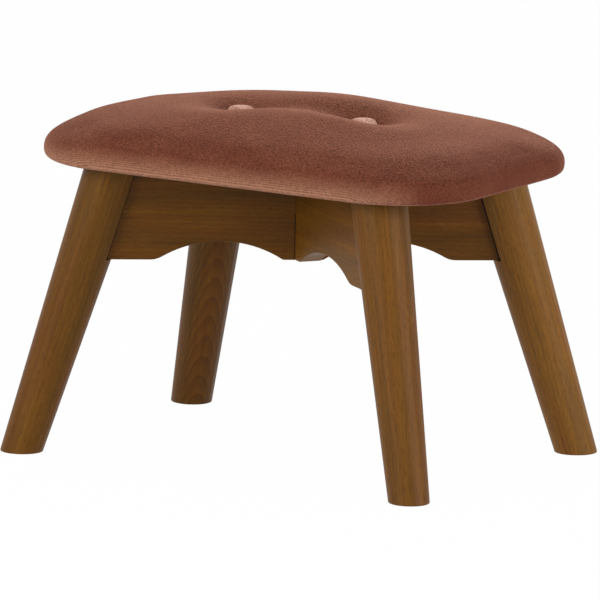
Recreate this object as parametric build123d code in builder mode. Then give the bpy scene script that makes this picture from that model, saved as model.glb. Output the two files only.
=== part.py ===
# Upholstered footstool: a tufted seat pad on two crossed rails and four splayed round legs.
# Millimetres. The origin is on the floor under the middle of the seat, +X along the seat, +Z up.

import math
import os

from build123d import *

# Legs: round, tapered, leaning out along the seat's diagonals
foot_span_x = 483.0  # between foot centres, along the seat
foot_span_y = 347.0  # between foot centres, across the seat
frame_height = 311.0  # floor to the tops of the legs and rails
leg_splay = 17.0  # lean of a leg from upright, in degrees
foot_diameter = 44.0  # across the leg at the floor
leg_top_diameter = 61.0  # across the leg at its top end
foot_ease = 1.2  # rounding round the foot's edge

# Cross rails: two boards on edge, halved into each other and housed in the legs
rail_thickness = 25.0
rail_depth = 101.0  # top edge to the flat bottom edge
arch_inner = 21.5  # middle of the rail to the near end of an arch
arch_span = 135.0
arch_rise = 20.0
arch_ease = 24.0  # rounding where an arch runs out into the end flat
arch_inner_ease = 5.0  # rounding where an arch runs out into the middle flat
rail_ease = 1.0  # rounding along the lower edges
leg_flat = 21.0  # leg axis to the flat planed on the leg's inner side
housing_floor = 14.0  # leg axis to the flat bottom of the slot in the leg
housing_clearance = 0.35  # rail to each wall of its slot
lap_clearance = 0.3  # rail to each wall of the other rail's notch

# Dowels that pin each rail end to its leg
dowel_diameter = 8.0
dowel_in_leg = 20.0
dowel_in_rail = 25.0
dowel_spacing = 44.0  # measured up the rail
dowel_clearance = 0.1  # round the dowel
dowel_end_gap = 1.0  # glue room past each end

# Seat pad outline and crown
pad_length = 527.0
pad_width = 350.0
pad_corner = 104.0  # corner radius seen from above
pad_rim_tuck = 4.0  # how far the sides draw in at the lower rim
pad_widest = 17.0  # lower rim to the widest level
rim_ease = 0.15  # share of the tuck left halfway up to the widest level
crown_rise = 58.0  # widest level to the top of the crown
crown_fullness = 1.05  # power of the crown's curve, higher is flatter on top
crown_levels = (0.985, 0.95, 0.89, 0.79, 0.65, 0.45, 0.2)  # shares of the outline
corner_share = 0.9  # most of the half width that a corner may take up

# Tufts and their covered buttons
tuft_offset = 76.0  # each button from the middle of the seat
tuft_depth = 25.0  # crown top to the floor of the tuft
tuft_radius = 62.0  # button centre to where the hollow has run out
button_diameter = 29.0
button_height = 9.0
button_edge = 3.5  # height of the rounded edge under the dome
button_room = 1.0  # tuft floor beyond the button, all round

# Layers of the pad, from the outside in
cover_thickness = 1.6
wadding_thickness = 5.0
layer_gap = 0.3
hem_width = 30.0  # cover turned under the board
tuft_lay = 1.7  # layers count this many times their thickness down the steep tuft wall

# Seat board
board_thickness = 15.0
board_margin = 17.0  # pad outline to the board's edge

# Dust cover under the seat
dust_thickness = 0.8
dust_margin = 14.0  # pad outline to the dust cover's edge

# Tuft twine, tied off on a washer let into the underside of the board
twine_diameter = 2.0
twine_clearance = 0.5  # round the twine in each layer
twine_washer_diameter = 20.0
twine_washer_thickness = 2.5
twine_knot_diameter = 4.5
twine_recess = 6.0  # depth of the washer's pocket
pocket_clearance = 0.3  # round the washer in its pocket

# Bolts up through the rails into tee nuts in the board
bolt_diameter = 6.0
bolt_length = 70.0  # under the head
bolt_head_diameter = 10.0
bolt_head_height = 6.0
bolt_socket = 5.0  # across the flats of the key socket
bolt_socket_depth = 3.0
bolt_from_middle = 89.0  # along the rail
bolt_clearance = 0.3  # round the shank
washer_diameter = 12.0
washer_thickness = 1.6
counterbore_clearance = 0.5  # round the washer
nut_barrel_diameter = 8.0
nut_barrel_length = 11.0
nut_flange_diameter = 19.0
nut_flange_thickness = 1.4
nut_clearance = 0.15  # round the nut in the board, and round the bolt in the nut

# Wire staples
staple_crown = 10.0
staple_wire = 0.8
staple_leg = 7.0
staple_clearance = 0.1
hem_staple_margin = 27.0  # pad outline to the line of staples in the hem
dust_staple_margin = 21.5  # pad outline to the line of staples in the dust cover
staples_along = 7  # on each long side
staples_across = 3  # on each short side
staple_pitch = 44.0
staple_shift = 0.5  # the dust cover's staples sit this share of a pitch along from the hem's

# Worked-out places
half_diagonal = math.hypot(foot_span_x, foot_span_y) / 2
diagonal = math.atan2(foot_span_y, foot_span_x)
splay = math.radians(leg_splay)
rail_bottom = frame_height - rail_depth
rail_middle = frame_height - rail_depth / 2
pad_bottom = frame_height + dust_thickness
board_bottom = pad_bottom + cover_thickness
board_top = board_bottom + board_thickness
widest_level = pad_bottom + pad_widest
crown_top = widest_level + crown_rise
tuft_floor = crown_top - tuft_depth
bolt_tip = board_top - nut_flange_thickness
bolt_seat = bolt_tip - bolt_length + washer_thickness
cover_inside = cover_thickness
wadding_outside = cover_inside + layer_gap
wadding_inside = wadding_outside + wadding_thickness
foam_outside = wadding_inside + layer_gap
corners = {
    "front_left": (-1, -1),
    "front_right": (1, -1),
    "back_left": (-1, 1),
    "back_right": (1, 1),
}
tufts = {"left": -tuft_offset, "right": tuft_offset}

os.makedirs("parts", exist_ok=True)


def finish(piece, name):
    """Label a finished piece and write it."""
    piece.label = name
    export_step(piece, f"parts/{name}.step")


def outward(side_x, side_y):
    """Level direction from the middle of the seat to one leg."""
    return Vector(side_x * math.cos(diagonal), side_y * math.sin(diagonal), 0)


def rail_plane(along):
    """Upright plane through the middle of a rail: x along the rail, y up."""
    return Plane(origin=(0, 0, 0), x_dir=along, z_dir=along.cross(Vector(0, 0, 1)))


def rail_end(height, gap=0.0):
    """Distance from the middle to the slot floor in a leg, at a height."""
    return half_diagonal - height * math.tan(splay) - (housing_floor + gap) / math.cos(splay)


def dowel_planes(along):
    """One plane per dowel at the slot floor, z pointing out along the dowel into the leg."""
    out = along * math.cos(splay) + Vector(0, 0, math.sin(splay))
    planes = []
    for step in (-0.5, 0.5):
        height = rail_middle + step * dowel_spacing
        foot = along * rail_end(height) + Vector(0, 0, height)
        planes.append(Plane(origin=foot, z_dir=out))
    return planes


def bolt_places():
    """Where the bolts stand, seen from above."""
    return [
        (side * along.X * bolt_from_middle, side * along.Y * bolt_from_middle)
        for along in (outward(1, 1), outward(1, -1))
        for side in (-1, 1)
    ]


def staple_places(margin, shift):
    """Middle and turn of each staple on a line inside the pad's outline."""
    line_x = pad_length / 2 - margin
    line_y = pad_width / 2 - margin
    places = []
    for count, edge, turn in ((staples_along, line_y, 0), (staples_across, line_x, 90)):
        for index in range(count):
            step = (index - (count - 1) / 2) * staple_pitch
            for side in (-1, 1):
                spot = (step + shift, side * edge) if turn == 0 else (side * edge, step + shift)
                places.append((spot, turn))
    return places


# Legs: turned cones cut level at the floor and under the seat, planed flat and slotted for the rail end
leg_length = frame_height / math.cos(splay)
leg_growth = (leg_top_diameter - foot_diameter) / 2 / leg_length
leg_spare = leg_top_diameter * math.tan(splay)
slot_cut = (0.0, rail_thickness / 2 + housing_clearance)
flat_cut = (leg_flat - housing_floor, leg_top_diameter)
for corner, (side_x, side_y) in corners.items():
    along = outward(side_x, side_y)
    lean = Vector(0, 0, math.cos(splay)) - along * math.sin(splay)
    foot = along * half_diagonal
    with BuildPart(Plane(origin=foot - lean * leg_spare, z_dir=lean)) as leg:
        Cone(
            foot_diameter / 2 - leg_growth * leg_spare,
            leg_top_diameter / 2 + leg_growth * leg_spare,
            leg_length + 2 * leg_spare,
            align=(Align.CENTER, Align.CENTER, Align.MIN),
        )
        split(bisect_by=Plane.XY, keep=Keep.TOP)
        fillet(leg.edges().sort_by(Axis.Z)[0], foot_ease)
        split(bisect_by=Plane.XY.offset(frame_height), keep=Keep.BOTTOM)
        for gap, half_width in (slot_cut, flat_cut):
            with BuildSketch(rail_plane(along)):
                with BuildLine():
                    Polyline(
                        (0, rail_bottom),
                        (rail_end(rail_bottom, gap), rail_bottom),
                        (rail_end(frame_height + leg_spare, gap), frame_height + leg_spare),
                        (0, frame_height + leg_spare),
                        close=True,
                    )
                make_face()
            extrude(amount=half_width, both=True, mode=Mode.SUBTRACT)
        for place in dowel_planes(along):
            with BuildSketch(place):
                Circle(dowel_diameter / 2 + dowel_clearance)
            extrude(amount=dowel_in_leg + dowel_end_gap, mode=Mode.SUBTRACT)
    finish(leg.part, f"leg_{corner}")

    with BuildPart() as dowels:
        for place in dowel_planes(along):
            with BuildSketch(place.offset(-dowel_in_rail)):
                Circle(dowel_diameter / 2)
            extrude(amount=dowel_in_rail + dowel_in_leg)
    finish(dowels.part, f"dowels_{corner}")

# Cross rails: arched below, one notched from above and the other from below at the crossing
arch_outer = arch_inner + arch_span
for name, along, other, notch_from, notch_to in (
    ("cross_rail_lower", outward(1, 1), outward(1, -1), rail_middle, frame_height),
    ("cross_rail_upper", outward(1, -1), outward(1, 1), rail_bottom, rail_middle),
):
    with BuildPart() as rail:
        with BuildSketch(rail_plane(along)):
            with BuildLine():
                Line((0, rail_bottom), (arch_inner, rail_bottom))
                ThreePointArc(
                    (arch_inner, rail_bottom),
                    (arch_inner + arch_span / 2, rail_bottom + arch_rise),
                    (arch_outer, rail_bottom),
                )
                Polyline(
                    (arch_outer, rail_bottom),
                    (rail_end(rail_bottom, housing_clearance), rail_bottom),
                    (rail_end(frame_height, housing_clearance), frame_height),
                    (0, frame_height),
                )
                mirror(about=Plane.YZ)
            make_face()
        extrude(amount=rail_thickness / 2, both=True)
        for arch_end, rounding in ((arch_outer, arch_ease), (arch_inner, arch_inner_ease)):
            eased = [
                edge
                for edge in rail.edges().filter_by(Axis((0, 0, 0), rail_plane(along).z_dir))
                if abs(abs(rail_plane(along).to_local_coords(edge.center()).X) - arch_end) < rail_ease
                and edge.center().Z < rail_middle
            ]
            fillet(eased, rounding)
        lower_edges = [
            edge
            for edge in rail.edges()
            if edge.center().Z < rail_bottom + arch_rise + rail_ease
            and abs(abs(rail_plane(along).to_local_coords(edge.center()).Z) - rail_thickness / 2) < rail_ease
        ]
        fillet(lower_edges, rail_ease)
        with BuildSketch(rail_plane(other)):
            with Locations((0, (notch_from + notch_to) / 2)):
                Rectangle(2 * arch_inner + rail_thickness, notch_to - notch_from)
        extrude(amount=rail_thickness / 2 + lap_clearance, both=True, mode=Mode.SUBTRACT)
        for end in (along, -along):
            for place in dowel_planes(end):
                with BuildSketch(place):
                    Circle(dowel_diameter / 2 + dowel_clearance)
                extrude(amount=-(dowel_in_rail + dowel_end_gap), mode=Mode.SUBTRACT)
        for side in (-1, 1):
            spot = along * (side * bolt_from_middle)
            with BuildSketch(Plane.XY.offset(bolt_seat)):
                with Locations((spot.X, spot.Y)):
                    Circle(bolt_diameter / 2 + bolt_clearance)
            extrude(amount=frame_height - bolt_seat, mode=Mode.SUBTRACT)
            with BuildSketch(Plane.XY.offset(bolt_seat)):
                with Locations((spot.X, spot.Y)):
                    Circle(washer_diameter / 2 + counterbore_clearance)
            extrude(amount=-(bolt_seat - rail_bottom), mode=Mode.SUBTRACT)
    finish(rail.part, name)


def pad_form(inset, base):
    """Loft the pad's rounded form, drawn in by a layer depth, from its lower rim up to the crown."""
    levels = [(1.0, pad_rim_tuck, base), (1.0, pad_rim_tuck * rim_ease, (base + widest_level) / 2)]
    levels.append((1.0, 0.0, widest_level))
    for share in crown_levels:
        rise = crown_rise * math.sqrt(1 - share**crown_fullness)
        levels.append((share, 0.0, widest_level + rise - inset))
    outlines = []
    for share, tuck, height in levels:
        half_length = pad_length / 2 * share - tuck - inset
        half_width = pad_width / 2 * share - tuck - inset
        radius = min(pad_corner - tuck - inset, corner_share * half_width)
        with BuildSketch(Plane.XY.offset(height)) as outline:
            RectangleRounded(2 * half_length, 2 * half_width, radius)
        outlines.append(outline.sketch)
    loft(outlines, ruled=True, clean=False)


def inset_outline(margin):
    """Draw the pad's outline, drawn in all round."""
    RectangleRounded(pad_length - 2 * margin, pad_width - 2 * margin, pad_corner - margin)


def tuft_hollows(inset):
    """Cut the two tufts: a flat floor for the button and a wall that rolls out onto the crown."""
    floor_radius = button_diameter / 2 + button_room
    floor = tuft_floor - inset * tuft_lay
    lip = floor + tuft_depth
    reach = tuft_radius - floor_radius
    roll = (reach**2 + tuft_depth**2) / (2 * tuft_depth)
    halfway = math.asin(reach / roll) / 2
    for middle in tufts.values():
        upright = Plane(origin=(middle, 0, 0), x_dir=(1, 0, 0), z_dir=(0, -1, 0))
        with BuildSketch(upright) as hollow:
            with BuildLine():
                ThreePointArc(
                    (floor_radius, floor),
                    (tuft_radius - roll * math.sin(halfway), lip - roll * (1 - math.cos(halfway))),
                    (tuft_radius, lip),
                )
                Polyline(
                    (tuft_radius, lip),
                    (tuft_radius, lip + tuft_depth),
                    (0, lip + tuft_depth),
                    (0, floor),
                    (floor_radius, floor),
                )
            make_face()
        turn_axis = Axis((middle, 0, 0), (0, 0, 1))
        revolve(hollow.sketch, axis=turn_axis, clean=False, mode=Mode.SUBTRACT)


def twine_holes(diameter, base, height):
    """Cut a round hole under each button, up from a level."""
    with BuildSketch(Plane.XY.offset(base)) as holes:
        with Locations(*[(middle, 0) for middle in tufts.values()]):
            Circle(diameter / 2)
    extrude(holes.sketch, amount=height, clean=False, mode=Mode.SUBTRACT)


def staples(margin, shift, base, grow=0.0, mode=Mode.ADD):
    """Lay a line of staples, crown down, or cut the room for them when grown."""
    places = staple_places(margin, shift)
    with BuildSketch(Plane.XY.offset(base)) as staple_crowns:
        for (x, y), turn in places:
            with Locations(Location((x, y, 0), (0, 0, 1), turn)):
                Rectangle(staple_crown + 2 * grow, staple_wire + 2 * grow)
    extrude(staple_crowns.sketch, amount=staple_wire + grow, clean=False, mode=mode)
    with BuildSketch(Plane.XY.offset(base)) as staple_legs:
        for (x, y), turn in places:
            with Locations(Location((x, y, 0), (0, 0, 1), turn)):
                with GridLocations(staple_crown - staple_wire, 0, 2, 1):
                    Rectangle(staple_wire + 2 * grow, staple_wire + 2 * grow)
    extrude(staple_legs.sketch, amount=staple_wire + staple_leg + grow, clean=False, mode=mode)


hem_staples = (hem_staple_margin, 0.0, pad_bottom)
dust_staples = (dust_staple_margin, staple_shift * staple_pitch, frame_height - staple_wire)
twine_hole = twine_diameter + 2 * twine_clearance

# Seat board: plywood with tee nut holes, twine holes and washer pockets
with BuildPart() as seat_board:
    with BuildSketch(Plane.XY.offset(board_bottom)):
        inset_outline(board_margin)
    extrude(amount=board_thickness)
    for diameter, top, depth in (
        (bolt_diameter + 2 * bolt_clearance, board_top, board_thickness),
        (nut_barrel_diameter + 2 * nut_clearance, board_top, nut_barrel_length),
        (nut_flange_diameter + 2 * nut_clearance, board_top, nut_flange_thickness),
    ):
        with BuildSketch(Plane.XY.offset(top)):
            with Locations(*bolt_places()):
                Circle(diameter / 2)
        extrude(amount=-depth, mode=Mode.SUBTRACT)
    twine_holes(twine_hole, board_bottom, board_thickness)
    twine_holes(twine_washer_diameter + 2 * pocket_clearance, board_bottom, twine_recess)
    staples(*hem_staples, grow=staple_clearance, mode=Mode.SUBTRACT)
    staples(*dust_staples, grow=staple_clearance, mode=Mode.SUBTRACT)
finish(seat_board.part, "seat_board")

# Foam: crowned block on the board, pressed down under the two buttons
with BuildPart() as foam_pad:
    pad_form(foam_outside, board_bottom)
    tuft_hollows(foam_outside)
    with BuildSketch(Plane.XY.offset(board_top)):
        Rectangle(pad_length, pad_width)
    extrude(amount=crown_top - board_top, clean=False, mode=Mode.INTERSECT)
    twine_holes(twine_hole, board_top, crown_top - board_top)
finish(foam_pad.part, "foam_pad")

# Wadding: soft sheet over the foam and down the edge of the board
with BuildPart() as wadding_core:
    pad_form(wadding_inside, pad_bottom)
    tuft_hollows(wadding_inside)
with BuildPart() as wadding:
    pad_form(wadding_outside, board_bottom)
    tuft_hollows(wadding_outside)
    add(wadding_core.part, clean=False, mode=Mode.SUBTRACT)
    twine_holes(twine_hole, board_top, crown_top - board_top)
finish(wadding.part, "wadding")

# Cover: velvet over the crown and sides, turned under the board as a hem
with BuildPart() as cover_core:
    pad_form(cover_inside, board_bottom)
    tuft_hollows(cover_inside)
with BuildPart() as seat_cover:
    pad_form(0.0, pad_bottom)
    tuft_hollows(0.0)
    add(cover_core.part, clean=False, mode=Mode.SUBTRACT)
    with BuildSketch(Plane.XY.offset(pad_bottom)):
        inset_outline(pad_rim_tuck + hem_width)
    extrude(amount=cover_thickness, clean=False, mode=Mode.SUBTRACT)
    twine_holes(twine_hole, board_top, crown_top - board_top)
    staples(*hem_staples, grow=staple_clearance, mode=Mode.SUBTRACT)
    staples(*dust_staples, grow=staple_clearance, mode=Mode.SUBTRACT)
finish(seat_cover.part, "seat_cover")

# Dust cover: thin cloth closing the underside
with BuildPart() as dust_cover:
    with BuildSketch(Plane.XY.offset(frame_height)):
        inset_outline(dust_margin)
        with Locations(*bolt_places()):
            Circle(bolt_diameter / 2 + bolt_clearance, mode=Mode.SUBTRACT)
    extrude(amount=dust_thickness)
    staples(*dust_staples, grow=staple_clearance, mode=Mode.SUBTRACT)
finish(dust_cover.part, "dust_cover")

# Staples of the cover's hem, pressed in flush, and those of the dust cover
with BuildPart() as cover_staples:
    staples(*hem_staples)
finish(cover_staples.part, "cover_staples")
with BuildPart() as dust_cover_staples:
    staples(*dust_staples)
finish(dust_cover_staples.part, "dust_cover_staples")

# Covered buttons: shallow domes seated on the floor of each tuft
button_radius = button_diameter / 2
dome_rise = button_height - button_edge
for side, middle in tufts.items():
    with BuildPart() as button:
        with BuildSketch(Plane(origin=(middle, 0, tuft_floor), x_dir=(1, 0, 0), z_dir=(0, -1, 0))):
            with BuildLine():
                Line((0, 0), (button_radius - button_edge, 0))
                RadiusArc((button_radius - button_edge, 0), (button_radius, button_edge), -button_edge)
                RadiusArc(
                    (button_radius, button_edge),
                    (0, button_height),
                    -(button_radius**2 + dome_rise**2) / (2 * dome_rise),
                )
                Line((0, button_height), (0, 0))
            make_face()
        revolve(axis=Axis((middle, 0, 0), (0, 0, 1)))
    finish(button.part, f"button_{side}")

    # Twine from the button down to its knot under the washer
    knot_middle = board_bottom + twine_recess - twine_washer_thickness - twine_knot_diameter / 2
    with BuildPart() as twine:
        with BuildSketch(Plane.XY.offset(knot_middle)):
            with Locations((middle, 0)):
                Circle(twine_diameter / 2)
        extrude(amount=tuft_floor - knot_middle)
        with Locations((middle, 0, knot_middle)):
            Sphere(twine_knot_diameter / 2)
    finish(twine.part, f"twine_{side}")

# Washers that hold the twine in the board's pockets
with BuildPart() as twine_washers:
    with BuildSketch(Plane.XY.offset(board_bottom + twine_recess)):
        with Locations(*[(middle, 0) for middle in tufts.values()]):
            Circle(twine_washer_diameter / 2)
            Circle(twine_hole / 2, mode=Mode.SUBTRACT)
    extrude(amount=-twine_washer_thickness)
finish(twine_washers.part, "twine_washers")

# Bolts, washers and tee nuts that hold the seat down on the rails
with BuildPart() as seat_bolts:
    head_top = bolt_seat - washer_thickness
    with BuildSketch(Plane.XY.offset(head_top)):
        with Locations(*bolt_places()):
            Circle(bolt_diameter / 2)
    extrude(amount=bolt_length)
    with BuildSketch(Plane.XY.offset(head_top)):
        with Locations(*bolt_places()):
            Circle(bolt_head_diameter / 2)
    extrude(amount=-bolt_head_height)
    with BuildSketch(Plane.XY.offset(head_top - bolt_head_height)):
        with Locations(*bolt_places()):
            RegularPolygon(bolt_socket / 2, 6, major_radius=False)
    extrude(amount=bolt_socket_depth, mode=Mode.SUBTRACT)
finish(seat_bolts.part, "seat_bolts")
with BuildPart() as bolt_washers:
    with BuildSketch(Plane.XY.offset(head_top)):
        with Locations(*bolt_places()):
            Circle(washer_diameter / 2)
            Circle(bolt_diameter / 2 + bolt_clearance, mode=Mode.SUBTRACT)
    extrude(amount=washer_thickness)
finish(bolt_washers.part, "bolt_washers")
with BuildPart() as tee_nuts:
    with BuildSketch(Plane.XY.offset(board_top)):
        with Locations(*bolt_places()):
            Circle(nut_flange_diameter / 2)
    extrude(amount=-nut_flange_thickness)
    with BuildSketch(Plane.XY.offset(board_top)):
        with Locations(*bolt_places()):
            Circle(nut_barrel_diameter / 2)
    extrude(amount=-nut_barrel_length)
    with BuildSketch(Plane.XY.offset(board_top)):
        with Locations(*bolt_places()):
            Circle(bolt_diameter / 2 + nut_clearance)
    extrude(amount=-nut_barrel_length, mode=Mode.SUBTRACT)
finish(tee_nuts.part, "tee_nuts")
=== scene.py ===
# Upholstered footstool: velvet pad with two covered buttons on crossed rails and splayed round legs.
import math

import bpy
import numpy as np
from mathutils import Matrix, Vector


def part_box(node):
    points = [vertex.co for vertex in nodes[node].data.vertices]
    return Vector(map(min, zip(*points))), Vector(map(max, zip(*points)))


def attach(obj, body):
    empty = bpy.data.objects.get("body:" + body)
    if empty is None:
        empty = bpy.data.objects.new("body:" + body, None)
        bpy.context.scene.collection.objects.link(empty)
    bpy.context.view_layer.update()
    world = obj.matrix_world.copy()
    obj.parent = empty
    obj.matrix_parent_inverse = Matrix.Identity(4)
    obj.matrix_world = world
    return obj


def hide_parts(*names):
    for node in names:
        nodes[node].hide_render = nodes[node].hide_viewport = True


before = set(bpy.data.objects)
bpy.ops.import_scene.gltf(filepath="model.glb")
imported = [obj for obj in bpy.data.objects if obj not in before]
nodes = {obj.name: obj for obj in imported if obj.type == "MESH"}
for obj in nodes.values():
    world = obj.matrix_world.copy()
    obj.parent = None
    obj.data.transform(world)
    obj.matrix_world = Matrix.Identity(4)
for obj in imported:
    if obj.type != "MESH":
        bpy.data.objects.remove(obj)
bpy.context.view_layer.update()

# Legs: four tapered rounds turned from beech, stained walnut brown under satin lacquer.
# Each leans out along a seat diagonal, so its grain is turned to run along the leg's own axis.
# The foot is sawn level with the floor and its edge is eased.
MM = 0.001


def colour(hex_code):
    """An sRGB hex colour as linear red, green, blue and alpha."""
    parts = [int(hex_code[i:i + 2], 16) / 255 for i in (1, 3, 5)]
    return [c / 12.92 if c <= 0.04045 else ((c + 0.055) / 1.055) ** 2.4 for c in parts] + [1.0]


def add_node(material, kind, links=(), **settings):
    """Add a node: settings are its own fields or, by name or as i0, i1, its inputs; links feed its inputs."""
    tree = material.node_tree
    node = tree.nodes.new(kind)
    own = {key: value for key, value in settings.items() if hasattr(node, key)}
    for key, value in own.items():
        setattr(node, key, value)
    for key, value in settings.items():
        if key not in own:
            place = int(key[1:]) if key[0] == "i" and key[1:].isdigit() else key.replace("_", " ")
            node.inputs[place].default_value = value
    for place, source in links:
        tree.links.new(source, node.inputs[place])
    return node


def new_material(name, **shader_values):
    """A node material and its shader, with the values that are the same all over."""
    material = bpy.data.materials.new(name)
    material.use_nodes = True
    shader = material.node_tree.nodes["Principled BSDF"]
    for key, value in shader_values.items():
        shader.inputs[key.replace("_", " ")].default_value = value
    return material, shader


def set_steps(ramp, *steps):
    """Set a colour ramp's steps, each a place and a hex colour."""
    stops = ramp.color_ramp.elements
    while len(stops) < len(steps):
        stops.new(0.5)
    for stop, (place, hex_code) in zip(stops, steps):
        stop.position = place
        stop.color = colour(hex_code)


def set_material(piece, material):
    """Give a piece one material all over."""
    piece.data.materials.clear()
    piece.data.materials.append(material)


def stained_beech(name, turn, shift, steps, heart, tilt, ring_spacing, ring_depth):
    """Beech, planed or turned, walnut stain under satin lacquer: soft streaks, growth lines and short dark
    flecks, with a low gloss. turn and shift lay the pattern's Z along the wood; heart and tilt place the
    tree's middle beside that line."""
    streak_width, wander_width = 16 * MM, 26 * MM
    along_grain = 0.1  # streaks run ten times as far along the wood as across it
    line_width, line_length = 1.7 * MM, 70 * MM
    fleck_width, fleck_length = 0.8 * MM, 5 * MM  # coarser than real beech flecks, so that they show
    figure_scale = 0.6  # of the noise that draws lines and flecks of those sizes
    fleck_relief = 0.15 * MM
    sway_width = 1.2 * ring_spacing
    heartwood, dark_fleck = colour("#6b3913"), colour("#2e1a0a")
    material, shader = new_material(name, IOR=1.5, Specular_IOR_Level=0.14)
    link = material.node_tree.links.new
    where = add_node(material, "ShaderNodeTexCoord")
    grain = add_node(material, "ShaderNodeMapping", [("Vector", where.outputs["Object"])],
                     vector_type="TEXTURE", Location=shift, Rotation=turn)
    drawn_out = add_node(material, "ShaderNodeMapping", [("Vector", grain.outputs["Vector"])],
                         Scale=(1.0, 1.0, along_grain))
    wander = add_node(material, "ShaderNodeTexNoise", [("Vector", drawn_out.outputs["Vector"])],
                      Scale=1 / wander_width, Detail=2.0)
    sway = add_node(material, "ShaderNodeVectorMath", [(0, wander.outputs["Color"])],
                    operation="MULTIPLY", i1=(sway_width, sway_width, 0))
    bent = add_node(material, "ShaderNodeVectorMath",
                    [(0, grain.outputs["Vector"]), (1, sway.outputs["Vector"])], operation="ADD")
    from_heart = add_node(material, "ShaderNodeMapping", [("Vector", bent.outputs["Vector"])],
                          vector_type="TEXTURE", Location=(*heart, 0), Rotation=(math.radians(tilt), 0, 0))
    rings = add_node(material, "ShaderNodeTexWave", [("Vector", from_heart.outputs["Vector"])],
                     wave_type="RINGS", rings_direction="Z", wave_profile="SAW",
                     Scale=math.pi / (10 * ring_spacing), Distortion=1.0, Detail=2.0)
    streaks = add_node(material, "ShaderNodeTexNoise", [("Vector", drawn_out.outputs["Vector"])],
                       Scale=1 / streak_width, Detail=5.0, Roughness=0.62)
    line_way = add_node(material, "ShaderNodeMapping", [("Vector", bent.outputs["Vector"])],
                        Scale=(1 / line_width, 1 / line_width, 1 / line_length))
    lines = add_node(material, "ShaderNodeTexNoise", [("Vector", line_way.outputs["Vector"])],
                     Scale=figure_scale, Detail=2.0)
    fleck_way = add_node(material, "ShaderNodeMapping", [("Vector", bent.outputs["Vector"])],
                         Scale=(1 / fleck_width, 1 / fleck_width, 1 / fleck_length))
    fleck_noise = add_node(material, "ShaderNodeTexNoise", [("Vector", fleck_way.outputs["Vector"])],
                           Scale=figure_scale, Detail=1.0)
    flecks = add_node(material, "ShaderNodeMapRange", [("Value", fleck_noise.outputs["Fac"])],
                      From_Min=0.52, From_Max=0.7, To_Max=0.27)
    body = add_node(material, "ShaderNodeValToRGB", [("Fac", streaks.outputs["Fac"])])
    set_steps(body, *steps)
    # a band of redder heartwood runs in and out along the piece
    redder = add_node(material, "ShaderNodeMapRange", [("Value", wander.outputs["Fac"])],
                      From_Min=0.48, From_Max=0.68, To_Max=0.35)
    hearty = add_node(material, "ShaderNodeMix",
                      [(0, redder.outputs["Result"]), (6, body.outputs["Color"])],
                      data_type="RGBA", i7=heartwood)
    ring_shade = add_node(material, "ShaderNodeMapRange", [("Value", rings.outputs["Fac"])],
                          To_Min=1 - ring_depth, To_Max=1 + ring_depth / 2)
    line_shade = add_node(material, "ShaderNodeMapRange", [("Value", lines.outputs["Fac"])],
                          From_Min=0.3, From_Max=0.7, To_Min=0.9, To_Max=1.1)
    figure = add_node(material, "ShaderNodeMath",
                      [(0, ring_shade.outputs["Result"]), (1, line_shade.outputs["Result"])],
                      operation="MULTIPLY")
    ringed = add_node(material, "ShaderNodeMix", [(6, hearty.outputs[2]), (7, figure.outputs["Value"])],
                      data_type="RGBA", blend_type="MULTIPLY", i0=1.0)
    flecked = add_node(material, "ShaderNodeMix", [(0, flecks.outputs["Result"]), (6, ringed.outputs[2])],
                       data_type="RGBA", i7=dark_fleck)
    link(flecked.outputs[2], shader.inputs["Base Color"])
    gloss = add_node(material, "ShaderNodeMapRange", [("Value", streaks.outputs["Fac"])],
                     To_Min=0.4, To_Max=0.54)
    link(gloss.outputs["Result"], shader.inputs["Roughness"])
    relief = add_node(material, "ShaderNodeBump", [("Height", fleck_noise.outputs["Fac"])],
                      invert=True, Strength=0.2, Distance=fleck_relief)
    link(relief.outputs["Normal"], shader.inputs["Normal"])
    return material


foot_x, foot_y = 241.5 * MM, 173.5 * MM  # from the middle of the stool to a foot's centre
splay = math.radians(17)
diagonal = math.atan2(foot_y, foot_x)
olive_tones = ((0.3, "#5d3d0e"), (0.45, "#684410"), (0.54, "#6c4411"), (0.7, "#764f15"))
# the back left leg's tones are painted darker, as shade on the leg that stands behind the stool
back_left_shaded_tones = ((0.3, "#51340a"), (0.45, "#5b3a0b"), (0.54, "#5f3a0b"), (0.7, "#67430e"))
brown_tones = ((0.3, "#633f13"), (0.45, "#6f4816"), (0.54, "#734916"), (0.7, "#7d531a"))
pale_tones = ((0.3, "#734d1f"), (0.45, "#815824"), (0.54, "#865821"), (0.7, "#90642a"))
# each leg's side of the seat, its tones, and its tree: place and tilt of the heart, ring spacing and depth
legs = {
    "front_left": (-1, -1, olive_tones, (12 * MM, 36 * MM), 0.0, 5.5 * MM, 0.12),
    "front_right": (1, -1, brown_tones, (-17 * MM, 35 * MM), 1.5, 6.0 * MM, 0.12),
    "back_left": (-1, 1, back_left_shaded_tones, (-22 * MM, -141 * MM), -9.0, 3.0 * MM, 0.24),
    "back_right": (1, 1, pale_tones, (-33 * MM, -17 * MM), 2.0, 5.0 * MM, 0.12),
}
for corner, (side_x, side_y, tones, *tree) in legs.items():
    out = Vector((side_x * math.cos(diagonal), side_y * math.sin(diagonal), 0))
    lean = Vector((0, 0, math.cos(splay))) - out * math.sin(splay)
    across = Vector((0, 0, 1)).cross(out)
    axes = Matrix((across, lean.cross(across), lean)).transposed()
    foot = (side_x * foot_x, side_y * foot_y, 0)
    wood = stained_beech(f"walnut_stained_beech_leg_{corner}", axes.to_euler(), foot, tones, *tree)
    set_material(nodes[f"leg_{corner}"], wood)
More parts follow.
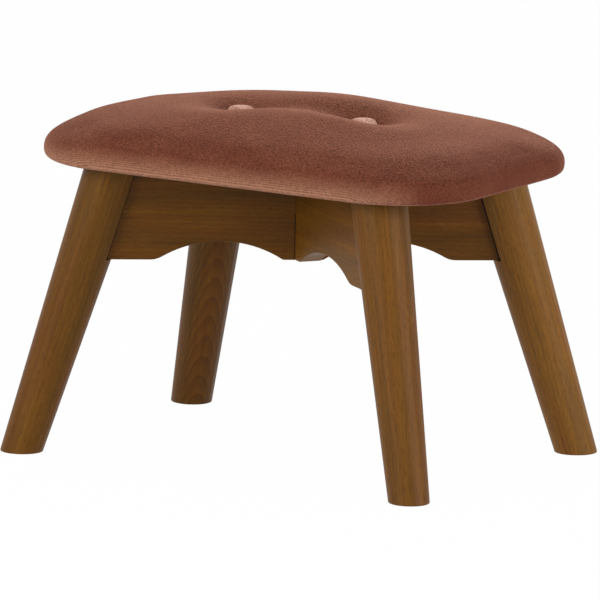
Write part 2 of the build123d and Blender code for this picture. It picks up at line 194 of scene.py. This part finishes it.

# Cross rails: two planed beech boards on edge, arched below and halved into each other at the middle.
# Their grain runs level along each diagonal; cross_rail_lower is painted a little darker than the legs as shade
# under the seat, and cross_rail_upper lighter as painted light from the right.
# Glued dowels hold their ends in the legs' slots, and a dark line of painted shade marks the gap at each joint.
shaded_rail_tones = ((0.3, "#5a370b"), (0.46, "#653f0c"), (0.55, "#6a3f0c"), (0.7, "#734a10"))
lit_rail_tones = ((0.3, "#694310"), (0.46, "#734b13"), (0.55, "#784c13"), (0.7, "#815617"))
rail_half, rail_middle = 12.5 * MM, 260.5 * MM  # half its thickness, and the level of its middle
heart_aside, heart_tilt = 70 * MM, 1.5
ring_spacing, ring_depth = 3.8 * MM, 0.12
# the dark lines at the joints are painted shade in the gaps between the parts
gap_shade_core, gap_shade_fade = 1.0 * MM, 2.4 * MM  # where the line is fully dark, and where it has faded out
gap_shade_depth = 0.22  # how much of the wood's colour is left in the line
flat_from_axis = 21 * MM  # a leg's axis to the flat on its inner side
leg_flat = math.hypot(foot_x, foot_y) - flat_from_axis / math.cos(splay)  # the middle to a flat, at the floor
for rail, side_y, heart_height, tones in (("cross_rail_lower", 1, 150 * MM, shaded_rail_tones),
                                          ("cross_rail_upper", -1, 420 * MM, lit_rail_tones)):
    along = Vector((math.cos(diagonal), side_y * math.sin(diagonal), 0))
    across = Vector((0, 0, 1)).cross(along)
    axes = Matrix((across, along.cross(across), along)).transposed()
    wood = stained_beech(f"walnut_stained_beech_{rail}", axes.to_euler(), (0, 0, 0), tones,
                         (heart_aside, heart_height), heart_tilt, ring_spacing, ring_depth)
    where = add_node(wood, "ShaderNodeTexCoord")
    level = add_node(wood, "ShaderNodeVectorMath", [(0, where.outputs["Object"])],
                     operation="DOT_PRODUCT", i1=(0, 0, 1))
    # the painted shade of the gap where the rail meets a leg leans with the leg
    from_middle = add_node(wood, "ShaderNodeVectorMath", [(0, where.outputs["Object"])],
                           operation="DOT_PRODUCT", i1=along)
    either_way = add_node(wood, "ShaderNodeMath", [(0, from_middle.outputs["Value"])], operation="ABSOLUTE")
    to_flat = add_node(wood, "ShaderNodeMath",
                       [(0, level.outputs["Value"]), (2, either_way.outputs["Value"])],
                       operation="MULTIPLY_ADD", i1=math.tan(splay))
    leg_line = add_node(wood, "ShaderNodeMapRange", [("Value", to_flat.outputs["Value"])],
                        From_Min=leg_flat - gap_shade_fade, From_Max=leg_flat - gap_shade_core,
                        To_Min=1.0, To_Max=gap_shade_depth)
    # the painted shade of the gap where the rails cross shows below the middle of the halving joint
    from_other = add_node(wood, "ShaderNodeVectorMath", [(0, where.outputs["Object"])],
                          operation="DOT_PRODUCT", i1=(math.sin(diagonal), side_y * math.cos(diagonal), 0))
    either_side = add_node(wood, "ShaderNodeMath", [(0, from_other.outputs["Value"])], operation="ABSOLUTE")
    lap_line = add_node(wood, "ShaderNodeMapRange", [("Value", either_side.outputs["Value"])],
                        From_Min=rail_half + gap_shade_core / 2, From_Max=rail_half + gap_shade_fade / 2,
                        To_Min=gap_shade_depth, To_Max=1.0)
    upper_half = add_node(wood, "ShaderNodeMath", [(0, level.outputs["Value"])],
                          operation="GREATER_THAN", i1=rail_middle)
    lower_lap = add_node(wood, "ShaderNodeMath",
                         [(0, lap_line.outputs["Result"]), (1, upper_half.outputs["Value"])],
                         operation="MAXIMUM")
    joint_gap_shade = add_node(wood, "ShaderNodeMath",
                           [(0, leg_line.outputs["Result"]), (1, lower_lap.outputs["Value"])],
                           operation="MULTIPLY")
    tint = wood.node_tree.nodes["Principled BSDF"].inputs["Base Color"]
    lined = add_node(wood, "ShaderNodeMix",
                     [(6, tint.links[0].from_socket), (7, joint_gap_shade.outputs["Value"])],
                     data_type="RGBA", blend_type="MULTIPLY", i0=1.0)
    wood.node_tree.links.new(lined.outputs[2], tint)
    set_material(nodes[rail], wood)


# Dowels, seat board, twine and its washers, foam and wadding: bare materials hidden inside the stool.
# The dowels are fluted beech, the board is birch plywood, the fill is foam under polyester wadding.
# None shows from outside, so each has a plain grain or fibre at its own scale.
def bare_material(name, low, high, grain_size, stretch, roughness):
    """A bare material, two tones mixed by a noise of a given grain size, stretched along its fibres."""
    material, shader = new_material(name, Roughness=roughness)
    where = add_node(material, "ShaderNodeTexCoord")
    fibres = add_node(material, "ShaderNodeMapping", [("Vector", where.outputs["Object"])], Scale=stretch)
    noise = add_node(material, "ShaderNodeTexNoise", [("Vector", fibres.outputs["Vector"])],
                     Scale=1 / grain_size, Detail=4.0)
    tones = add_node(material, "ShaderNodeValToRGB", [("Fac", noise.outputs["Fac"])])
    set_steps(tones, (0.35, low), (0.65, high))
    relief = add_node(material, "ShaderNodeBump", [("Height", noise.outputs["Fac"])],
                      Strength=0.3, Distance=grain_size / 10)
    material.node_tree.links.new(tones.outputs["Color"], shader.inputs["Base Color"])
    material.node_tree.links.new(relief.outputs["Normal"], shader.inputs["Normal"])
    return material


plain_beech = bare_material("bare_beech", "#b08a62", "#c9a67c", 3 * MM, (1, 1, 0.3), 0.7)
for corner in legs:
    set_material(nodes[f"dowels_{corner}"], plain_beech)
twine_fibre = bare_material("waxed_twine", "#b9ab8c", "#d6cab0", 0.6 * MM, (1, 1, 0.5), 0.8)
for side in ("left", "right"):
    set_material(nodes[f"twine_{side}"], twine_fibre)
for name, *finish in (
    ("seat_board", "birch_plywood", "#b8966a", "#d2b58c", 6 * MM, (0.2, 1, 4), 0.75),
    ("foam_pad", "seat_foam", "#d8caa2", "#e8dcb8", 1.5 * MM, (1, 1, 1), 0.95),
    ("wadding", "polyester_wadding", "#dcdcd8", "#f0f0ec", 4 * MM, (1, 1, 1), 0.95),
    ("twine_washers", "moulded_nylon", "#d5d3ca", "#e2e0d8", 8 * MM, (1, 1, 1), 0.5),
):
    set_material(nodes[name], bare_material(*finish))

# Bolts, washers, tee nuts and staples: zinc-plated steel, a dull silver with faint cloudy plating.
# The bolts stand in counterbores under the rails, and the staples hold the hem and the dust cover.
cloud_size = 2.5 * MM
plated, plated_shader = new_material("zinc_plated_steel", Metallic=1.0)
where = add_node(plated, "ShaderNodeTexCoord")
clouds = add_node(plated, "ShaderNodeTexNoise", [("Vector", where.outputs["Object"])],
                  Scale=1 / cloud_size, Detail=3.0)
tones = add_node(plated, "ShaderNodeValToRGB", [("Fac", clouds.outputs["Fac"])])
set_steps(tones, (0.35, "#9d9fa3"), (0.65, "#bfc1c4"))
wear = add_node(plated, "ShaderNodeMapRange", [("Value", clouds.outputs["Fac"])], To_Min=0.3, To_Max=0.45)
plated.node_tree.links.new(tones.outputs["Color"], plated_shader.inputs["Base Color"])
plated.node_tree.links.new(wear.outputs["Result"], plated_shader.inputs["Roughness"])
for name in ("seat_bolts", "bolt_washers", "tee_nuts", "cover_staples", "dust_cover_staples"):
    set_material(nodes[name], plated)

# Dust cover: black spunbond lining stapled under the seat, with its fine pressed dimples.
# It is the face seen from below between the rails and the legs.
dimple_spacing, dimple_depth = 1.6 * MM, 0.2 * MM
lining, lining_shader = new_material("spunbond_lining", Roughness=0.9)
where = add_node(lining, "ShaderNodeTexCoord")
cells = add_node(lining, "ShaderNodeTexVoronoi", [("Vector", where.outputs["Object"])],
                 Scale=1 / dimple_spacing, Randomness=0.2)
tones = add_node(lining, "ShaderNodeValToRGB", [("Fac", cells.outputs["Distance"])])
set_steps(tones, (0.0, "#0e0e0f"), (0.6, "#232325"))
relief = add_node(lining, "ShaderNodeBump", [("Height", cells.outputs["Distance"])],
                  Strength=0.5, Distance=dimple_depth)
lining.node_tree.links.new(tones.outputs["Color"], lining_shader.inputs["Base Color"])
lining.node_tree.links.new(relief.outputs["Normal"], lining_shader.inputs["Normal"])
set_material(nodes["dust_cover"], lining)

# Seat pad: velvet drawn over wadding and foam, pulled down by two sewn buttons on the long middle line.
# The form is crowned, its sides tuck in under the board, and the tufts run together in a shallow trough.
# It starts as a block, is shaped a little small, and the cloth is blown out against its sewn points.
pad_low, pad_high = (Vector(corner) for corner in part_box("seat_cover"))
half_length, half_width = pad_high.x, pad_high.y
block_height = 60 * MM
corner_radius, corner_segments = 104 * MM, 24
corner_share = 0.9  # most of the half width that a corner may take up
rim_tuck = 4 * MM
rim_fullness = 1.2 * MM
widest = 17 * MM  # lower rim to the widest level
crown_rise, crown_fullness = 57.2 * MM, 1.05
flat_share = 0.17  # the crown is nearly flat inside this share of its outline
slack = 3.0 * MM  # the crown starts this much low, and the cloth fills out
tuft_x = 76 * MM
tuft_depth, tuft_flat, tuft_reach = 9 * MM, 12 * MM, 22 * MM
tuft_fullness = 1.25  # power of the tuft wall's curve
trough_depth, trough_reach = 9.5 * MM, 26 * MM
# the fill lies a little unevenly: each swell's middle, its reach along and across, and its rise, all in mm
swells = (
    ((10, 60), (60, 60), 4.4), ((-205, 105), (45, 45), -2.8), ((-245, -25), (34, 75), 5.6),
    ((245, -10), (34, 65), 3.0), ((205, 148), (40, 30), 1.8), ((-76, -35), (45, 30), -2.2),
    ((76, -35), (40, 30), 4.6),
)
swell_end = 20  # power with which the swells run out at the outline
voxel = 4.5 * MM
turned_edge, ease_height = 3 * MM, 9 * MM  # the first smoothing spares the lower edge and grows over this height


def share_of_outline(x, y):
    """How far out a point lies, 0 at the middle and 1 on the pad's outline, found by halving.
    Corners keep their radius on the smaller outlines, so the crown grows rounder towards its top."""
    inner, outer = np.zeros_like(x), np.full_like(x, 1.1)
    for halving in range(24):
        share = (inner + outer) / 2
        radius = np.minimum(corner_radius, corner_share * half_width * share)
        over_x = np.abs(x) - (half_length * share - radius)
        over_y = np.abs(y) - (half_width * share - radius)
        past_corner = np.hypot(np.maximum(over_x, 0), np.maximum(over_y, 0))
        past = past_corner + np.minimum(np.maximum(over_x, over_y), 0)
        inside = past < radius
        outer, inner = np.where(inside, share, outer), np.where(inside, inner, share)
    return outer


def tuft_drop(x, y):
    """How far the buttons and the trough between them pull the crown down."""
    drop = np.zeros_like(x)
    for middle in (-tuft_x, tuft_x):
        away = np.maximum(np.hypot(x - middle, y) - tuft_flat, 0)
        drop += tuft_depth * np.exp(-(away / tuft_reach) ** tuft_fullness)
    beyond = np.maximum(np.abs(x) - tuft_x, 0)
    drop += trough_depth * np.exp(-(np.hypot(beyond, y) / trough_reach) ** 2)
    return np.minimum(drop, tuft_depth + trough_depth)


def read_points(piece):
    """A piece's points as rows of x, y and z."""
    points = np.empty(len(piece.data.vertices) * 3)
    piece.data.vertices.foreach_get("co", points)
    return points.reshape(-1, 3)


def write_points(piece, points):
    """Put a piece's points where they are asked to be."""
    piece.data.vertices.foreach_set("co", points.ravel())
    piece.data.update()


def read_normals(piece):
    """A piece's outward directions, a row for each point."""
    normals = np.empty(len(piece.data.vertices) * 3)
    piece.data.vertices.foreach_get("normal", normals)
    return normals.reshape(-1, 3)


def apply_modifier(piece, kind, **settings):
    """Add a modifier to a piece and apply it."""
    bpy.context.view_layer.objects.active = piece
    modifier = piece.modifiers.new(kind.lower(), kind)
    for key, value in settings.items():
        setattr(modifier, key, value)
    bpy.ops.object.modifier_apply(modifier=modifier.name)


bpy.ops.object.select_all(action="DESELECT")
bpy.ops.mesh.primitive_cube_add(size=1)
pad = bpy.context.object
pad.name = "velvet_pad"
pad.scale = (2 * half_length, 2 * half_width, block_height)
bpy.ops.object.transform_apply(scale=True)
bpy.ops.object.mode_set(mode="EDIT")
bpy.ops.mesh.select_mode(type="EDGE")
bpy.ops.mesh.select_all(action="DESELECT")
bpy.ops.object.mode_set(mode="OBJECT")
for edge in pad.data.edges:
    ends = [pad.data.vertices[index].co for index in edge.vertices]
    edge.select = abs(ends[0].z - ends[1].z) > block_height / 2
bpy.ops.object.mode_set(mode="EDIT")
bpy.ops.mesh.bevel(offset=corner_radius, segments=corner_segments)
bpy.ops.object.mode_set(mode="OBJECT")
apply_modifier(pad, "REMESH", mode="VOXEL", voxel_size=voxel)

points = read_points(pad)
share = np.minimum(share_of_outline(points[:, 0], points[:, 1]), 1.0)
height = np.clip(points[:, 2] / block_height + 0.5, 0, 1)
slope = np.minimum((share**3 + flat_share**3) ** (1 / 3), 1.0)
crown = crown_rise * np.sqrt(1 - slope**crown_fullness)
thickness = widest + crown - tuft_drop(points[:, 0], points[:, 1])
for (swell_x, swell_y), (reach_x, reach_y), rise in swells:
    away = np.hypot((points[:, 0] / MM - swell_x) / reach_x, (points[:, 1] / MM - swell_y) / reach_y)
    thickness += rise * MM * np.exp(-away**2) * (1 - share**swell_end)
tuck = (rim_tuck * np.maximum(1 - 2 * height, 0) ** 2 - rim_fullness) * share
distance = np.maximum(np.hypot(points[:, 0], points[:, 1]), 1e-6)
points[:, 0] -= tuck * points[:, 0] / distance
points[:, 1] -= tuck * points[:, 1] / distance
points[:, 2] = pad_low.z + height * (thickness - slack * (1 - share**4))
write_points(pad, points)
apply_modifier(pad, "REMESH", mode="VOXEL", voxel_size=voxel)
eased = pad.vertex_groups.new(name="above_the_turned_edge")
for index, level in enumerate(read_points(pad)[:, 2]):
    eased.add([index], min(max((level - pad_low.z - turned_edge) / ease_height, 0), 1), "REPLACE")
apply_modifier(pad, "SMOOTH", factor=0.5, iterations=6, vertex_group=eased.name)

hem_height = 2 * MM  # the cloth is held below this, where it is stapled, and under the buttons
most_growth = 4 * MM  # the foam stops the cloth inwards, and its own stretch stops it outwards
cloth_steps, evening_turns = 20, 30
start = read_points(pad)
beside_button = np.minimum(np.hypot(start[:, 0] - tuft_x, start[:, 1]),
                           np.hypot(start[:, 0] + tuft_x, start[:, 1]))
over = start[:, 2] > pad_low.z + widest
held = (start[:, 2] < pad_low.z + hem_height) | (over & (beside_button < tuft_flat))
sewn = pad.vertex_groups.new(name="sewn_points")
sewn.add([int(index) for index in np.nonzero(held)[0]], 1.0, "REPLACE")
cloth = pad.modifiers.new("velvet_cloth", "CLOTH")
cloth.settings.vertex_group_mass = sewn.name
cloth.settings.use_pressure = True
cloth.settings.uniform_pressure_force = 4.0
cloth.settings.effector_weights.gravity = 0.0
cloth.settings.tension_stiffness = 25
cloth.settings.compression_stiffness = 25
cloth.settings.bending_stiffness = 2.0
for step in range(1, cloth_steps + 1):
    bpy.context.scene.frame_set(step)
settled = pad.evaluated_get(bpy.context.evaluated_depsgraph_get())
after = np.empty(len(settled.data.vertices) * 3)
settled.data.vertices.foreach_get("co", after)
pad.modifiers.remove(cloth)
bpy.context.scene.frame_set(1)
outward = read_normals(pad)
growth = np.clip(np.sum((after.reshape(-1, 3) - start) * outward, axis=1), 0, most_growth)
ends = np.empty(len(pad.data.edges) * 2, dtype=np.int32)
pad.data.edges.foreach_get("vertices", ends)
first, second = ends.reshape(-1, 2).T
neighbours = np.bincount(ends, minlength=len(start))
for turn in range(evening_turns):
    around = np.bincount(first, growth[second], len(start))
    around += np.bincount(second, growth[first], len(start))
    growth = (growth + around / neighbours) / 2
growth[held] = 0
write_points(pad, start + outward * growth[:, None])
apply_modifier(pad, "SMOOTH", factor=0.5, iterations=3)
apply_modifier(pad, "SUBSURF", levels=1, render_levels=1)
bpy.ops.object.shade_smooth()


def lay_cloth(piece, top, rim):
    """Keep where each point lies on the flat cloth, so that the pile's rows follow it over the sides, and where
    light and shade are painted on it: pale under the front and left of the edge, painted light where the pile is
    also turned open, a painted sheen behind the buttons, painted shade on slopes to the right, and how flat the
    cloth lies where it is level."""
    pale_height, pale_curve = 27 * MM, 1.2
    painted_light_way = np.array((-0.3, -0.95))  # the way that the open pile faces and the painted light falls, seen from above
    painted_light_from, painted_light_span = 0.45, 0.5
    sheen_behind_depth, sheen_behind_end, sheen_behind_start, sheen_behind_blend = 0.16, 180 * MM, -50 * MM, 100 * MM
    right_shade_depth, right_shade_steepness, right_shade_fade = 0.58, 5, 0.6
    points, normals = read_points(piece), read_normals(piece)
    along, across = points[:, 0], points[:, 1]
    steep = np.linalg.norm(normals[:, :2], axis=1, keepdims=True)
    level = normals[:, :2] / np.maximum(steep, 0.05)
    cloth_way = points.copy()
    cloth_way[:, :2] += level * np.minimum(1.5 * steep, 1) * (top - points[:, 2:3])
    cloth_way[:, 2] = 0
    steepness = steep[:, 0]
    # painted light: pale on the lower front and left faces, toward the key lamp, where the pile is also turned
    # open
    facing = np.clip((level @ painted_light_way - painted_light_from) / painted_light_span, 0, 1)
    fall = np.clip((rim + pale_height - points[:, 2]) / pale_height, 0, 1) ** pale_curve
    # a painted sheen on the slope behind the buttons, mixed toward the pale tone
    painted_sheen_behind = sheen_behind_depth * np.clip((across - sheen_behind_start) / sheen_behind_blend, 0, 1)
    painted_sheen_behind *= np.clip((sheen_behind_end - np.abs(along)) / sheen_behind_blend, 0, 1)
    # painted shade on slopes that face right, away from the key light
    painted_shade_right = right_shade_depth * np.clip(level[:, 0], 0, 1) * np.minimum(right_shade_steepness * steepness, 1)
    lay = {
        "pile_turn_and_painted_light": np.maximum(fall * facing, painted_sheen_behind * (1 - fall)),
        "painted_shade_right": painted_shade_right * (1 - right_shade_fade * steepness),
        "pile_flat": 1 - steepness,
    }
    piece.data.attributes.new("cloth_way", "FLOAT_VECTOR", "POINT").data.foreach_set(
        "vector", cloth_way.ravel())
    for name, values in lay.items():
        piece.data.attributes.new(name, "FLOAT", "POINT").data.foreach_set("value", values)


def cotton_velvet(name, steps, pale, painted_shade_tone):
    """Cotton velvet: short cut pile in close rows, softly brushed into paler and darker patches, with a pale
    sheen where it is seen edge-on. The rows, threads and speckle of tips are drawn coarser than real ones,
    so that they show."""
    row_spacing, thread_spacing = 2.5 * MM, 2.7 * MM
    patch_size, tip_size = 70 * MM, 1.9 * MM
    nap_relief = 0.6 * MM
    material, shader = new_material(name, Roughness=0.9, Specular_IOR_Level=0.1, Sheen_Weight=0.95,
                                    Sheen_Roughness=0.3, Sheen_Tint=colour("#d89a82"))
    way = add_node(material, "ShaderNodeAttribute", attribute_name="cloth_way")
    turn = add_node(material, "ShaderNodeAttribute", attribute_name="pile_turn_and_painted_light")
    away = add_node(material, "ShaderNodeAttribute", attribute_name="painted_shade_right")
    flat = add_node(material, "ShaderNodeAttribute", attribute_name="pile_flat")
    where = add_node(material, "ShaderNodeTexCoord")
    patches = add_node(material, "ShaderNodeTexNoise", [("Vector", way.outputs["Vector"])],
                       Scale=1 / patch_size, Detail=4.0, Roughness=0.55)
    rows = add_node(material, "ShaderNodeTexWave", [("Vector", way.outputs["Vector"])],
                    bands_direction="Y", Scale=math.pi / (10 * row_spacing),
                    Distortion=0.4, Detail_Scale=0.2)
    threads = add_node(material, "ShaderNodeTexWave", [("Vector", way.outputs["Vector"])],
                       bands_direction="X", Scale=math.pi / (10 * thread_spacing),
                       Distortion=0.8, Detail_Scale=0.3)
    tips = add_node(material, "ShaderNodeTexNoise", [("Vector", where.outputs["Object"])],
                    Scale=1 / tip_size, Detail=2.0)
    brushed = add_node(material, "ShaderNodeValToRGB", [("Fac", patches.outputs["Fac"])])
    set_steps(brushed, *steps)
    # painted shade: slopes that face right are darkened toward the shade tone
    shaded_right = add_node(material, "ShaderNodeMix", [(0, away.outputs["Fac"]), (6, brushed.outputs["Color"])],
                        data_type="RGBA", i7=colour(painted_shade_tone))
    # painted light: the lower front and left faces and the slope behind the buttons are mixed toward pale; on
    # the buttons that tone is darker, painted shade
    turned = add_node(material, "ShaderNodeMix", [(0, turn.outputs["Fac"]), (6, shaded_right.outputs[2])],
                      data_type="RGBA", i7=colour(pale))
    # rows and threads stand open, and show, only where the cloth turns over the edge
    open_rows = add_node(material, "ShaderNodeMapRange", [("Value", turn.outputs["Fac"])],
                         From_Max=0.6, To_Min=0.04, To_Max=0.24)
    open_threads = add_node(material, "ShaderNodeMapRange", [("Value", turn.outputs["Fac"])],
                            From_Min=0.3, From_Max=0.9, To_Min=0.01, To_Max=0.03)
    # the tips speckle most where the cloth lies level
    open_tips = add_node(material, "ShaderNodeMapRange", [("Value", flat.outputs["Fac"])],
                         From_Max=0.7, To_Min=1.3, To_Max=3.4)
    about_mean = add_node(material, "ShaderNodeMath", [(0, tips.outputs["Fac"])],
                          operation="SUBTRACT", i1=0.5)
    shade = add_node(material, "ShaderNodeMath",
                     [(0, about_mean.outputs["Value"]), (1, open_tips.outputs["Result"])],
                     operation="MULTIPLY_ADD", i2=1.0)
    for lines, strength in ((rows, open_rows), (threads, open_threads)):
        swing = add_node(material, "ShaderNodeMapRange", [("Value", lines.outputs["Fac"])],
                         To_Min=-1.0, To_Max=1.0)
        drawn = add_node(material, "ShaderNodeMath",
                         [(0, swing.outputs["Result"]), (1, strength.outputs["Result"])],
                         operation="MULTIPLY")
        shade = add_node(material, "ShaderNodeMath",
                         [(0, shade.outputs["Value"]), (1, drawn.outputs["Value"])], operation="ADD")
    shaded = add_node(material, "ShaderNodeMix", [(6, turned.outputs[2]), (7, shade.outputs["Value"])],
                      data_type="RGBA", blend_type="MULTIPLY", i0=1.0)
    nap = add_node(material, "ShaderNodeBump", [("Height", shade.outputs["Value"])],
                   Strength=0.7, Distance=nap_relief)
    material.node_tree.links.new(shaded.outputs[2], shader.inputs["Base Color"])
    material.node_tree.links.new(nap.outputs["Normal"], shader.inputs["Normal"])
    return material


lay_cloth(pad, pad_high.z, pad_low.z)
seat_steps = ((0.3, "#6a3727"), (0.5, "#723e2c"), (0.7, "#7b4633"))
# the pale tone is painted light under the front edge, and the dark one painted shade on slopes that face right
set_material(pad, cotton_velvet("cotton_velvet", seat_steps, "#ae7d63", "#4a2014"))
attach(pad, "root")
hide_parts("seat_cover", "wadding", "foam_pad")

# Buttons: two wooden moulds covered in the seat's velvet, each drawn down by twine through the pad.
# The cloth is gathered round the mould's edge, which leaves small puckers under the dome.
# Stretched over the mould, it is painted much paler than the seat, a painted highlight where the dome catches
# the light, and its lower front and right-facing sides are painted darker, as shade.
button_highlight_steps = ((0.3, "#e6b9a6"), (0.5, "#ecc2b0"), (0.7, "#f2cbb9"))
button_velvet = cotton_velvet("stretched_cotton_velvet_painted_highlight", button_highlight_steps, "#b57c64", "#b57c64")
drawn_aside = Vector((-1.5, -3.0, 0)) * MM  # the twine pulls both buttons a little off their middles
cloth_share = 1.06  # gathered cloth makes a button this much wider than its mould
pucker_count, pucker_depth = 14, 0.35 * MM
dome_fullness = 6  # power of the dome's curve, flat on top and round at the edge
for side, sunk in (("left", 4.0 * MM), ("right", 1.4 * MM)):
    low, high = (Vector(corner) - Vector((0, 0, sunk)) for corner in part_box(f"button_{side}"))
    middle = (low + high) / 2 + drawn_aside
    radius, rise = cloth_share * (high.x - low.x) / 2, high.z - low.z
    bpy.ops.object.select_all(action="DESELECT")
    bpy.ops.mesh.primitive_uv_sphere_add(segments=56, ring_count=28, radius=radius,
                                         location=(middle.x, middle.y, low.z))
    button = bpy.context.object
    button.name = f"velvet_button_{side}"
    bpy.ops.object.transform_apply(location=True)
    bpy.ops.object.mode_set(mode="EDIT")
    bpy.ops.mesh.select_all(action="SELECT")
    bpy.ops.mesh.bisect(plane_co=low, plane_no=(0, 0, 1), clear_inner=True, use_fill=True)
    bpy.ops.object.mode_set(mode="OBJECT")
    points = read_points(button)
    above_base = points[:, 2] > low.z
    around = np.arctan2(points[:, 1] - middle.y, points[:, 0] - middle.x)
    out = np.hypot(points[:, 0] - middle.x, points[:, 1] - middle.y)
    edge = np.clip(out / radius, 0, 1) ** dome_fullness
    swell = 1 - edge * pucker_depth / radius * (1 - np.cos(pucker_count * around)) / 2
    points[:, 0] = middle.x + (points[:, 0] - middle.x) * swell
    points[:, 1] = middle.y + (points[:, 1] - middle.y) * swell
    points[:, 2] = low.z + rise * np.sqrt(1 - edge) * above_base
    write_points(button, points)
    apply_modifier(button, "SUBSURF", levels=1, render_levels=1)
    bpy.ops.object.shade_smooth()
    lay_cloth(button, high.z, low.z)
    set_material(button, button_velvet)
    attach(button, "root")
    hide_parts(f"button_{side}")


# Studio: a plain white paper floor under even white light from all round.
# A soft key light stands at the left front, and a smaller one at the right brings out the far slopes.
# Floor and room show white to the camera and in reflections, and the floor keeps a faint shadow of the stool.
def seen_straight(material):
    """Nodes that give 1 to a camera, glossy or transmission ray, and 0 to the light that lands on the stool."""
    ray = add_node(material, "ShaderNodeLightPath")
    seen = add_node(material, "ShaderNodeMath",
                    [(0, ray.outputs["Is Camera Ray"]), (1, ray.outputs["Is Glossy Ray"])],
                    operation="MAXIMUM")
    seen_all = add_node(material, "ShaderNodeMath",
                        [(0, seen.outputs["Value"]), (1, ray.outputs["Is Transmission Ray"])],
                        operation="MAXIMUM")
    return seen_all.outputs["Value"]


floor_size = 14
paper_white = 0.985  # share of plain white in the paper that is seen; the rest takes the shadow
bpy.ops.object.select_all(action="DESELECT")
bpy.ops.mesh.primitive_plane_add(size=floor_size)
floor = bpy.context.object
floor.name = "studio_floor"
paper = bpy.data.materials.new("white_paper")
paper.use_nodes = True
output = paper.node_tree.nodes["Material Output"]
paper.node_tree.nodes.remove(paper.node_tree.nodes["Principled BSDF"])
white_share = add_node(paper, "ShaderNodeMath", [(0, seen_straight(paper))],
                       operation="MULTIPLY", i1=paper_white)
sheet = add_node(paper, "ShaderNodeBsdfDiffuse", Color=colour("#f4f4f4"))
glow = add_node(paper, "ShaderNodeEmission", Strength=1.0)
surface = add_node(paper, "ShaderNodeMixShader",
                   [(0, white_share.outputs["Value"]), (1, sheet.outputs["BSDF"]),
                    (2, glow.outputs["Emission"])])
paper.node_tree.links.new(surface.outputs["Shader"], output.inputs["Surface"])
set_material(floor, paper)

room_light, room_seen = 0.46, 1.0
room = bpy.data.worlds.new("white_room")
room.use_nodes = True
bpy.context.scene.world = room
sky = room.node_tree.nodes["Background"]
strength = add_node(room, "ShaderNodeMapRange", [("Value", seen_straight(room))],
                    To_Min=room_light, To_Max=room_seen)
sky.inputs["Color"].default_value = colour("#ffffff")
room.node_tree.links.new(strength.outputs["Result"], sky.inputs["Strength"])

lit_point = Vector((0, 0, 0.25))
for name, place, size, power in (("key_light", (-0.9, -2.65, 1.6), 1.6, 41),
                                 ("side_light", (2.6, -0.1, 0.8), 1.2, 27)):
    lamp = bpy.data.objects.new(name, bpy.data.lights.new(name, "AREA"))
    lamp.data.energy = power
    lamp.data.size = size
    lamp.location = place
    lamp.rotation_euler = (lit_point - lamp.location).to_track_quat("-Z", "Y").to_euler()
    bpy.context.collection.objects.link(lamp)

# Camera: a very long lens at the photograph's angle, a little right of the front and a little above the floor.
# It is turned round the stool, tipped down and rolled, then moved aside and down to frame it as there.
turn, tip, roll = math.radians(31.08), math.radians(10.68), math.radians(1.0)
aim, distance = Vector((0, 0, 0.210)), 23.937
moved_aside, moved_down = 0.00245, 0.04484
back = Vector((math.sin(turn) * math.cos(tip), -math.cos(turn) * math.cos(tip), math.sin(tip)))
level = Vector((math.cos(turn), math.sin(turn), 0))
upright = back.cross(level)
right = level * math.cos(roll) + upright * math.sin(roll)
above = upright * math.cos(roll) - level * math.sin(roll)
camera = bpy.data.objects.new("camera", bpy.data.cameras.new("camera"))
camera.data.sensor_width = 36
camera.data.lens = 1346.3
camera.data.clip_end = 100
place = aim + back * distance - right * moved_aside - above * moved_down
camera.matrix_world = Matrix.Translation(place) @ Matrix((right, above, back)).transposed().to_4x4()
bpy.context.collection.objects.link(camera)
bpy.context.scene.camera = camera
bpy.context.scene.view_settings.view_transform = "Standard"
